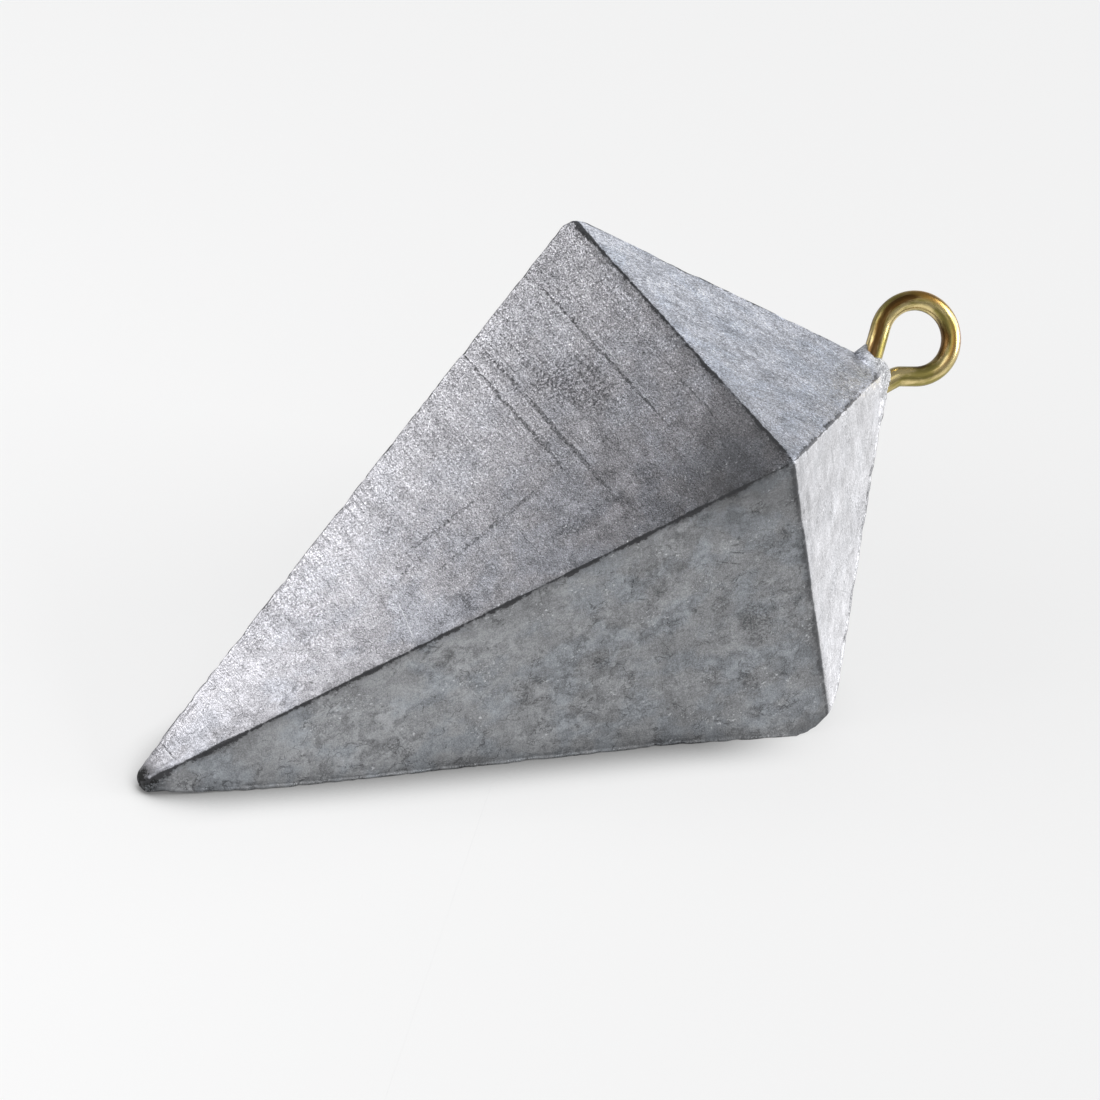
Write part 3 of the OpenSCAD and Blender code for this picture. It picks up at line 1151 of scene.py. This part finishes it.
        # The wear needs to know how near an edge is, and where the mould parted.
        from_edge = (1 - r.math("ABSOLUTE", spread)) * (width - radius)
        from_waist = r.math("ABSOLUTE", height)
        on_ridge = r.math("SINE", turn * 2.0)
        in_mould = self.only(r, corner, 1) * self.upper_flash + self.only(r, corner, 3)
        shape = r.store(sheet, "edge", r.math("MINIMUM", from_edge, from_waist))
        shape = r.store(shape, "flash", on_ridge * in_mould)
        shape = r.flow("GeometryNodeSetPosition", {"Geometry": shape, "Position": place})
        shape = r.flow("GeometryNodeMergeByDistance", {"Geometry": shape, "Distance": self.weld})
        shape = r.flow("GeometryNodeSetPosition", {"Geometry": shape, "Offset": self.wear(r, given)})
        end_tree(r, r.flow("GeometryNodeSetShadeSmooth", {"Geometry": shape}))
        return r.tree

    def only(self, r: Recipe, corner: Flow, number: int) -> Flow:
        """Gives 1 at one of the four corners and 0 at the others."""
        return r.math("COMPARE", corner, number, 0.5)

    def corner_growth(self, r: Recipe, width: Flow, radius: Flow, height: Flow, worn: float) -> Flow:
        """Gives how much rounder a corner is where it nears its worn end at the waist.

        Args:
            r: The tree's recipe.
            width: Half the section's width.
            radius: Radius of the section's other corners.
            height: The section's height above the waist.
            worn: Radius of the worn corner, seen square to the parting plane.

        Returns:
            What the corner's radius in the section grows by.
        """
        p = self.pyramid
        half = p.half_side * sqrt(2)
        middle, middle_z = p.corner(half, worn)
        low = middle_z - worn * sin(atan(half / p.point_length))
        high = middle_z + worn * sin(atan(half / p.shoulder_height))
        near = r.math("COMPARE", height, (low + high) / 2, (high - low) / 2)
        rise = r.math("MULTIPLY", height - middle_z, height - middle_z)
        limit = r.math("SQRT", r.largest(worn ** 2 - rise, 0.0)) + (middle - p.edge_cut)
        over = width * sqrt(2) - radius * (sqrt(2) - 1) - limit
        return r.largest(over, 0.0) * near / (sqrt(2) - 1)

    def wear(self, r: Recipe, given: dict[str, Flow]) -> Flow:
        """Gives how far each point of the casting moves in or out.

        Args:
            r: The tree's recipe.
            given: The tree's inputs.

        Returns:
            The offset, which points in for dents and nicks and out for flash.
        """
        place = r.flow("GeometryNodeInputPosition")
        normal = r.flow("GeometryNodeInputNormal")
        kept = "GeometryNodeInputNamedAttribute"
        edge, flash = (r.flow(kept, {"Name": name}, data_type="FLOAT") for name in ("edge", "flash"))
        near_edge = r.ramp(edge, 0.0, self.worn_edge, 1, 0)
        swell = r.noise(place, 9 * MM, 2, 0.5)
        pits = r.ramp(r.noise(place, 1.1 * MM, 2, 0.55), 0.56, 0.72)
        nicks = r.ramp(r.noise(place, 1.3 * MM, 3, 0.65), 0.46, 0.74)
        fin = r.ramp(r.noise(place, 2.4 * MM, 3, 0.6), 0.35, 0.6, 0.7, 1.0)
        depth = swell * given["Dents"] + pits * given["Pits"] + nicks * near_edge * given["Nicks"]
        return normal * (fin * flash * given["Flash"] - depth)

    def flared(self, places: np.ndarray) -> np.ndarray:
        """Spreads the foot of the front face, where the casting is a little fatter.

        Args:
            places: Points of the casting, standing as the pyramid does.

        Returns:
            The points in their new places.
        """
        x, y, z = places.T
        half = self.finish.half_width(z)
        down = np.clip((x / half + 1) / 2, 0, 1)
        forward = np.clip(-y / half, 0, 1)
        heights = [z / MM + step for step in self.flare_steps]
        along = sum(np.interp(height, self.flare_heights, self.flare_shares) for height in heights)
        along /= len(heights)
        spread = places.copy()
        spread[:, 1] -= self.flare * along * down ** 2 * forward ** 3
        return spread

    def keep_in(self, mesh: Mesh) -> None:
        """Presses the lying casting flat where it meets the floor or would pass the CAD's sides.

        Args:
            mesh: The casting, lying in the shared frame.
        """
        low, high = np.array(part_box(LEAD_NODE))
        places = read_rows(mesh.vertices, "co")
        move_points(mesh, np.clip(places, low + self.margin, high - self.margin))

    def build(self) -> Object:
        """Makes the casting and dresses it.

        Returns:
            The finished piece, which stands for the CAD's lead.
        """
        seed = self.profile()
        mesh = grown("lead_casting", seed, self.tree(), {
            "Rows": len(seed.vertices) - 1,
            "Side columns": self.side_columns,
            "Corner columns": self.corner_columns,
            "Dents": self.dents,
            "Pits": self.pits,
            "Nicks": self.nicks,
            "Flash": self.flash,
        })
        places = Crown(self.pyramid).swell(read_rows(mesh.vertices, "co"))
        move_points(mesh, places)
        self.finish.paint(mesh)
        move_points(mesh, self.flared(places))
        mesh.transform(self.pyramid.lying())
        self.keep_in(mesh)
        mesh.materials.clear()
        mesh.materials.append(self.finish.material())
        return placed_object("lead_casting", mesh)


@dataclass
class WireEye:
    """The bent wire: an open eye above the lead and two hooked legs inside it."""

    pyramid: Pyramid
    finish: BrassFinish
    wire_d: float = 1.5 * MM
    hole_d: float = 4.1 * MM
    eye_rise: float = 2.85 * MM
    eye_shift: float = 0.9 * MM
    upper_lean: float = radians(45)
    lower_lean: float = radians(28)
    leg_offset: float = 0.9 * MM
    upper_bend_r: float = 1.6 * MM
    lower_bend_r: float = 0.9 * MM
    foot_depth: float = 12 * MM
    foot_bend_r: float = 1.8 * MM
    foot_length: float = 1.6 * MM
    step: float = 0.12 * MM
    sides: int = 28
    marks: float = 0.025 * MM

    @property
    def eye_middle(self) -> Vector:
        """The middle of the eye, in the parting plane."""
        return Vector((-self.eye_shift, self.pyramid.shoulder_height + self.eye_rise))

    @property
    def eye_r(self) -> float:
        """The radius of the eye's centre line."""
        return (self.hole_d + self.wire_d) / 2

    def leg(self, side: int, lean: float, bend_r: float) -> list[Vector]:
        """Draws a leg's centre line from its foot up to the eye, in the parting plane.

        Args:
            side: 1 for the lower corner's side and -1 for the upper corner's.
            lean: The angle at which the wire comes down from the eye.
            bend_r: The radius of the bend under the eye.

        Returns:
            Points that are close together on the bends.
        """
        middle = self.eye_middle
        leave_x, leave_z = middle.x * side + self.eye_r * cos(lean), middle.y - self.eye_r * sin(lean)
        run = (leave_x - self.leg_offset) / sin(lean)
        bend_z = leave_z - run * cos(lean) - bend_r * tan(lean / 2)
        foot_z = self.pyramid.shoulder_height - self.foot_depth
        foot = Vector((self.leg_offset + self.foot_bend_r, foot_z + self.foot_bend_r))
        bend = Vector((self.leg_offset + bend_r, bend_z))
        points = [Vector((foot.x + self.foot_length, foot_z))]
        points += self.arc(foot, self.foot_bend_r, -pi / 2, -pi)
        points += self.arc(bend, bend_r, pi, pi - lean)
        return [Vector((point.x * side, point.y)) for point in points]

    def arc(self, middle: Vector, radius: float, start: float, end: float) -> list[Vector]:
        """Draws an arc in the parting plane.

        Args:
            middle: The arc's middle.
            radius: Its radius.
            start: The angle at which it starts.
            end: The angle at which it ends.

        Returns:
            Points along it, about a step apart.
        """
        count = max(2, round(abs(end - start) * radius / self.step))
        turns = [start + (end - start) * i / count for i in range(count + 1)]
        return [middle + Vector((cos(turn), sin(turn))) * radius for turn in turns]

    def centre_line(self) -> Mesh:
        """Draws the wire's whole centre line.

        Returns:
            A chain of edges, standing as the pyramid does.
        """
        lower = self.leg(1, self.lower_lean, self.lower_bend_r)
        upper = self.leg(-1, self.upper_lean, self.upper_bend_r)
        eye = self.arc(self.eye_middle, self.eye_r, -self.lower_lean, pi + self.upper_lean)
        points = lower + eye + upper[::-1]
        across = self.pyramid.parting
        places = [across * point.x + Vector((0, 0, point.y)) for point in points]
        mesh = bpy.data.meshes.new("centre_line")
        mesh.from_pydata(places, [(i, i + 1) for i in range(len(places) - 1)], [])
        return mesh

    def tree(self) -> NodeTree:
        """Builds the geometry tree that sweeps the wire along its centre line.

        Returns:
            The tree, whose sizes are named inputs.
        """
        kinds = {"Radius": "NodeSocketFloat", "Step": "NodeSocketFloat", "Marks": "NodeSocketFloat",
                 "Sides": "NodeSocketInt"}
        r, given = geometry_tree("wire_eye", kinds)
        line = r.flow("GeometryNodeMeshToCurve", {"Mesh": given["Geometry"]})
        line = r.flow("GeometryNodeResampleCurve", {"Curve": line, "Length": given["Step"]}, mode="LENGTH")
        place = r.flow("GeometryNodeInputPosition")
        line = r.store(line, "core", place, "FLOAT_VECTOR")
        ring = r.flow("GeometryNodeCurvePrimitiveCircle", {
            "Resolution": given["Sides"], "Radius": given["Radius"],
        })
        wire = r.flow("GeometryNodeCurveToMesh", {"Curve": line, "Profile Curve": ring, "Fill Caps": True})
        marks = r.noise(place, 1.3 * MM, 3, 0.6) - 0.85
        push = r.flow("GeometryNodeInputNormal") * (marks * given["Marks"])
        wire = r.flow("GeometryNodeSetPosition", {"Geometry": wire, "Offset": push})
        end_tree(r, r.flow("GeometryNodeSetShadeSmooth", {"Geometry": wire}))
        return r.tree

    def skin(self, mesh: Mesh) -> None:
        """Writes where each point is on the wire's skin.

        The skin attribute holds the angle round the eye, the side from in to out, and the side
        from back to front, the last two from -1 to 1.

        Args:
            mesh: The wire, standing as the pyramid does.
        """
        places = read_rows(mesh.vertices, "co")
        cores = read_rows(mesh.attributes["core"].data, "vector")
        across = np.array(self.pyramid.parting)
        u = cores @ across - self.eye_middle.x
        z = cores[:, 2] - self.eye_middle.y
        angle = np.mod(np.arctan2(z, u) + pi / 2, 2 * pi) - pi / 2
        away = (places - cores) / (self.wire_d / 2)
        outward = cores - (across * self.eye_middle.x + np.array((0, 0, self.eye_middle.y)))
        outward /= np.linalg.norm(outward, axis=1)[:, None]
        sides = [angle, (away * outward).sum(axis=1), away @ self.pyramid.forward]
        write_attribute(mesh, "skin", np.stack(sides, axis=1))

    def build(self) -> Object:
        """Makes the wire and dresses it.

        Returns:
            The finished piece, which stands for the CAD's wire.
        """
        mesh = grown("brass_eye", self.centre_line(), self.tree(), {
            "Radius": self.wire_d / 2, "Step": self.step, "Marks": self.marks, "Sides": self.sides,
        })
        self.skin(mesh)
        mesh.transform(self.pyramid.lying())
        mesh.materials.clear()
        mesh.materials.append(self.finish.material())
        return placed_object("brass_eye", mesh)


@dataclass(frozen=True)
class Lamp:
    """A square soft box that looks at the sinker."""

    name: str
    azimuth: float
    elevation: float
    distance: float
    side: float
    radiance: float
    aim: tuple[float, float, float] = (0.0, 0.0, 0.015)

    def place(self) -> None:
        """Puts the lamp into the scene."""
        data = bpy.data.lights.new(self.name, "AREA")
        data.shape, data.size = "SQUARE", self.side
        data.energy = self.radiance * pi * self.side ** 2
        lamp = placed_object(self.name, data)
        lamp.matrix_world = looking(self.aim, self.azimuth, self.elevation, self.distance)


def looking(aim: tuple, azimuth: float, elevation: float, distance: float, roll: float = 0) -> Matrix:
    """Finds the place and the turn of a lamp or camera that looks at a point.

    Args:
        aim: The point.
        azimuth: Degrees round from the front (-Y) towards the right (+X).
        elevation: Degrees above the floor.
        distance: How far it is from the point.
        roll: Degrees that it leans to one side.

    Returns:
        Its world matrix.
    """
    a, e = radians(azimuth), radians(elevation)
    back = Vector((sin(a) * cos(e), -cos(a) * cos(e), sin(e)))
    turn = back.to_track_quat("Z", "Y").to_matrix() @ Matrix.Rotation(radians(roll), 3, "Z")
    return Matrix.Translation(Vector(aim) + back * distance) @ turn.to_4x4()


@dataclass
class Studio:
    """The pale floor, the soft light and the camera."""

    azimuth: float = -39.655
    elevation: float = 40.221
    roll: float = 10.553
    distance: float = 1.0
    lens: float = 447.5
    aim: tuple[float, float, float] = (1.685 * MM, 2.434 * MM, 8.526 * MM)
    floor_side: float = 12.0
    floor_white: float = 0.8
    floor_dim: float = 0.6
    floor_glow: float = 0.695
    painted_shadow_reach: float = 4.5 * MM
    sky: float = 0.3
    backdrop: float = 0.9
    lamps: list[Lamp] = field(default_factory=lambda: [
        Lamp("key", 68, 20, 0.8, 0.55, 7.6),
        Lamp("front", -20, 55, 0.8, 0.5, 1.2),
        Lamp("window", -110, 35, 0.15, 0.11, 4.0, (-0.04, 0.0, 0.0)),
        Lamp("panel", -135, 55, 0.15, 0.11, 2.0, (-0.04, 0.0, 0.0)),
    ])

    def camera(self) -> None:
        """Sets up the camera, which leans to one side as the photograph's does."""
        data = bpy.data.cameras.new("camera")
        data.lens, data.sensor_width = self.lens, 36
        data.clip_start, data.clip_end = 0.01, 50
        camera = placed_object("camera", data)
        camera.matrix_world = looking(self.aim, self.azimuth, self.elevation, self.distance, self.roll)
        bpy.context.scene.camera = camera

    def floor(self) -> None:
        """Lays the pale floor, which shows its own shade to the camera and in reflections, with a painted
        contact shadow near the sinker that fades out towards +X.
        """
        bm = bmesh.new()
        bmesh.ops.create_grid(bm, x_segments=1, y_segments=1, size=self.floor_side / 2)
        mesh = bpy.data.meshes.new("floor")
        bm.to_mesh(mesh)
        bm.free()
        material = bpy.data.materials.new("pale_floor")
        r = blank_recipe(material)
        seen = self.seen(r)
        # A painted contact shadow: darker where the sinker is near, fading out on the +X side.
        open_air = r.flow("ShaderNodeAmbientOcclusion", {"Distance": self.painted_shadow_reach}, "AO", samples=16)
        side = r.parts(r.flow("ShaderNodeTexCoord", out="Object"))[0]
        dark = r.ramp(side, 0.006, 0.015, 0.76, 0.06)
        shade = 1 - dark * r.ramp(open_air, 0.35, 0.95, 1, 0)
        white = (self.floor_white - seen * self.floor_dim) * shade
        paper = r.flow("ShaderNodeBsdfDiffuse", {"Color": white})
        glow = r.flow("ShaderNodeEmission", {"Strength": seen * self.floor_glow * shade})
        both = r.flow("ShaderNodeAddShader", {0: paper, 1: glow})
        r.node("ShaderNodeOutputMaterial", {"Surface": both})
        mesh.materials.append(material)
        placed_object("floor", mesh)

    def seen(self, r: Recipe) -> Flow:
        """Tells rays that see the background from rays that only carry light.

        Args:
            r: The recipe of the floor or the world.

        Returns:
            1 for camera, mirror and glass rays, and 0 for the others.
        """
        path = r.node("ShaderNodeLightPath")
        names = ("Is Camera Ray", "Is Glossy Ray", "Is Transmission Ray")
        return r.largest(*(Flow(r, path.outputs[name]) for name in names))

    def world(self) -> None:
        """Fills the room with even light, and shows a pale backdrop past the floor."""
        world = bpy.data.worlds.new("room")
        r = blank_recipe(world)
        path = r.flow("ShaderNodeLightPath", out="Is Camera Ray")
        shade = r.flow("ShaderNodeBackground", {
            "Color": (0.97, 0.98, 1.0, 1.0), "Strength": self.sky + path * (self.backdrop - self.sky),
        })
        r.node("ShaderNodeOutputWorld", {"Surface": shade})
        bpy.context.scene.world = world

    def build(self) -> None:
        """Sets the whole studio up."""
        bpy.context.scene.view_settings.view_transform = "Standard"
        self.camera()
        self.floor()
        self.world()
        for lamp in self.lamps:
            lamp.place()


def main() -> None:
    """Builds the studio and the sinker, and reports each piece."""
    logging.basicConfig(level=logging.INFO, format="%(name)s: %(message)s")
    Studio().build()
    pyramid = Pyramid()
    body = LeadCasting(pyramid, LeadFinish(pyramid)).build()
    eye = WireEye(pyramid, BrassFinish()).build()
    for piece, slot, node in ((body, "lead", LEAD_NODE), (eye, "brass_wire", EYE_NODE)):
        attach(piece, BODY)
        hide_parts(node)
        log.info("%s: %d faces", piece.name, len(piece.data.polygons))


if __name__ == "__main__":
    main()
